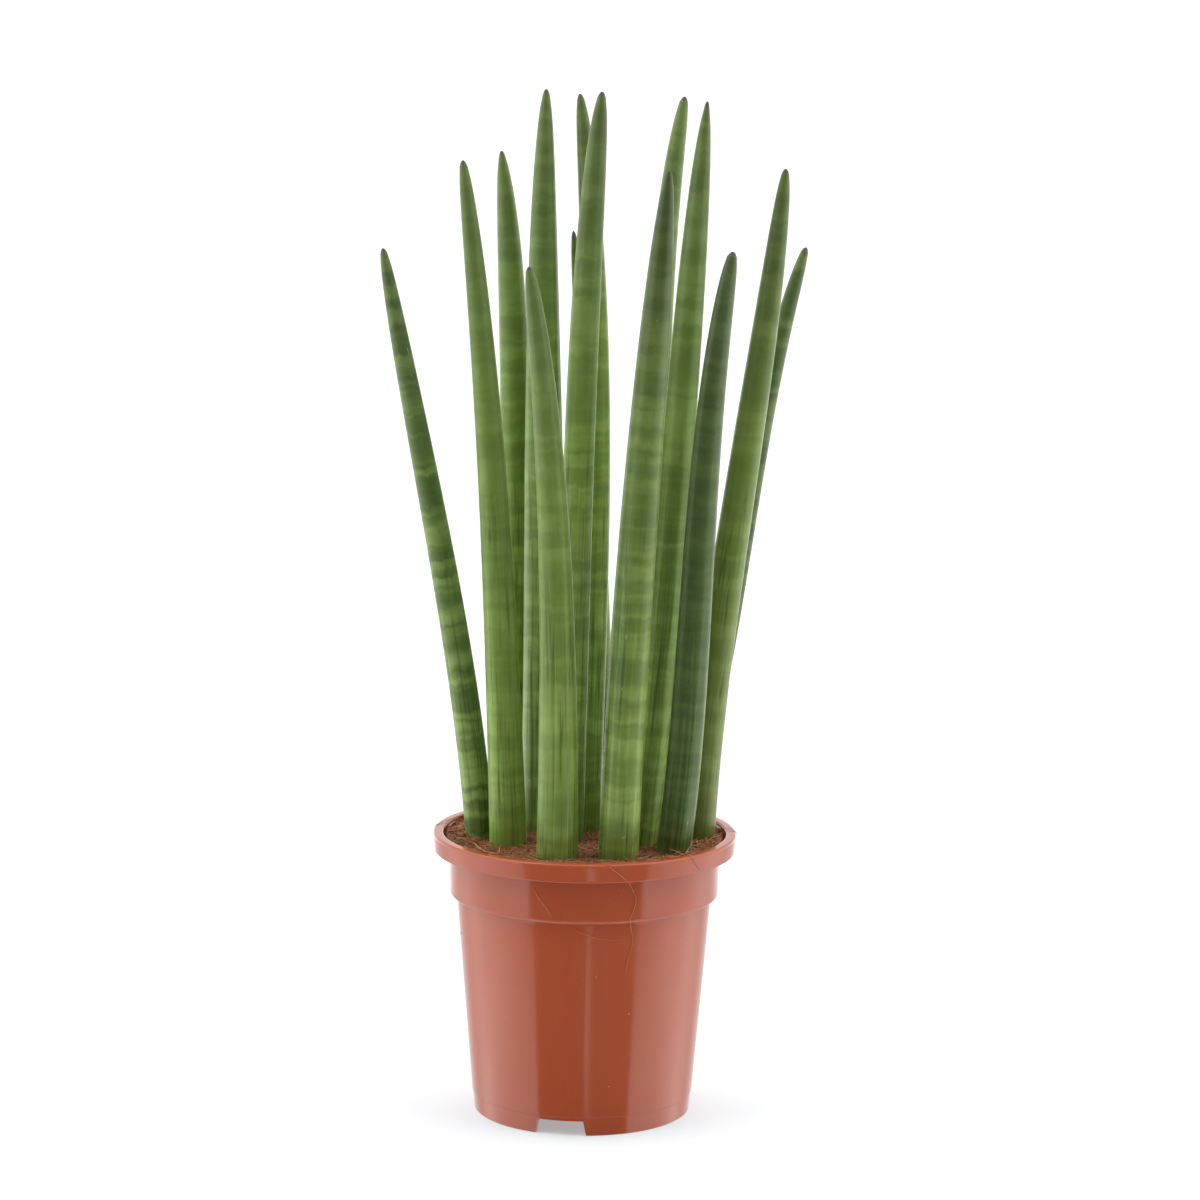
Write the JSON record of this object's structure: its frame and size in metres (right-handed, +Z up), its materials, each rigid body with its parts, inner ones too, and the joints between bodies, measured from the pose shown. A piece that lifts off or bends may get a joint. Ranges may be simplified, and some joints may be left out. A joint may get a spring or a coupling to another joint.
{
  "type": "potted snake plant",
  "caption": "Upright snake plant with tall round pointed leaves fanning out of coir potting mix, in a tapered plastic nursery pot with a rolled lip.",
  "frame": {"origin": "middle of the plant's box on the surface that the pot stands on", "axes": "+Z up, -Y towards the front of the plant as it is pictured, +X to the right"},
  "size_m": [0.2376, 0.17, 0.57],
  "materials": {
    "pot_plastic": "gloss",
    "potting_mix": "matte",
    "leaf": "satin"
  },
  "bodies": {
    "root": {"pot": "pot_plastic", "potting_mix": "potting_mix", "leaf_01": "leaf", "leaf_02": "leaf", "leaf_03": "leaf", "leaf_04": "leaf", "leaf_05": "leaf", "leaf_06": "leaf", "leaf_07": "leaf", "leaf_08": "leaf", "leaf_09": "leaf", "leaf_10": "leaf", "leaf_11": "leaf", "leaf_12": "leaf", "leaf_13": "leaf", "leaf_14": "leaf"}
  },
  "joints": []
}
